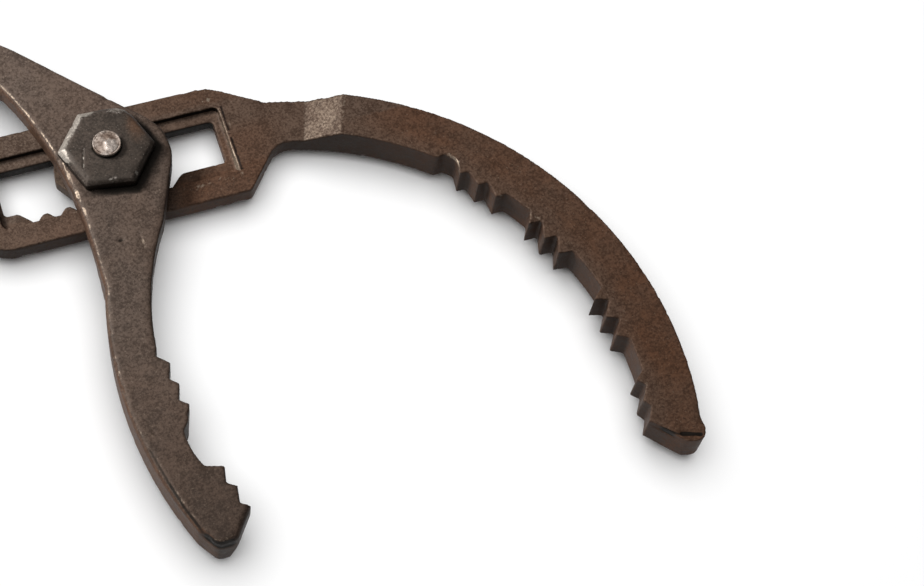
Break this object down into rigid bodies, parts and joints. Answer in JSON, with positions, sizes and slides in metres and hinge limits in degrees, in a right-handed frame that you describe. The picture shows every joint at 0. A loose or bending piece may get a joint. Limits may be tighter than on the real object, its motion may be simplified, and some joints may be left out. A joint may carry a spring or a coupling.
{
  "type": "pipe wrench",
  "caption": "Slip-joint pipe wrench: a swing lever with a toothed jaw pivots on a stud that slides in the notched frame of a lever with a long curved toothed jaw.",
  "frame": {"origin": "pivot axis at the underside of the stud's hexagonal head, which is the tool's lowest face", "axes": "+X along the slot towards the curved jaw, +Y across the frame towards the swing handle, +Z along the pivot towards the nut"},
  "size_m": [0.2941, 0.2487, 0.0193],
  "materials": {
    "slotted_forging": "brown-black aged forging, satin, edges worn light",
    "swing_forging": "brown-black aged forging, satin, edges worn light",
    "stud_steel": "bright steel, the free end hammered over",
    "nut_steel": "blue-black steel, corners worn bright",
    "block_steel": "dull brown-black steel",
    "washer_steel": "dull brown-black steel"
  },
  "bodies": {
    "slotted_side": {"slotted_lever": "slotted_forging"},
    "slide": {"guide_washer": "washer_steel"},
    "pivot_group": {"pivot_stud": "stud_steel", "slide_block": "block_steel", "hex_nut": "nut_steel"},
    "swing_side": {"swing_lever": "swing_forging"}
  },
  "joints": [
    {"name": "position", "type": "slide", "parent": "slotted_side", "child": "slide", "axis": [1, 0, 0], "range_m": [-0.0106, 0.0053]},
    {"name": "seat", "type": "slide", "parent": "slide", "child": "pivot_group", "axis": [0, -1, 0], "range_m": [0, 0.0016]},
    {"name": "pivot", "type": "hinge", "parent": "pivot_group", "child": "swing_side", "pos_m": [0, 0, 0.0115], "axis": [0, 0, 1], "range_deg": [-30, 38]}
  ]
}
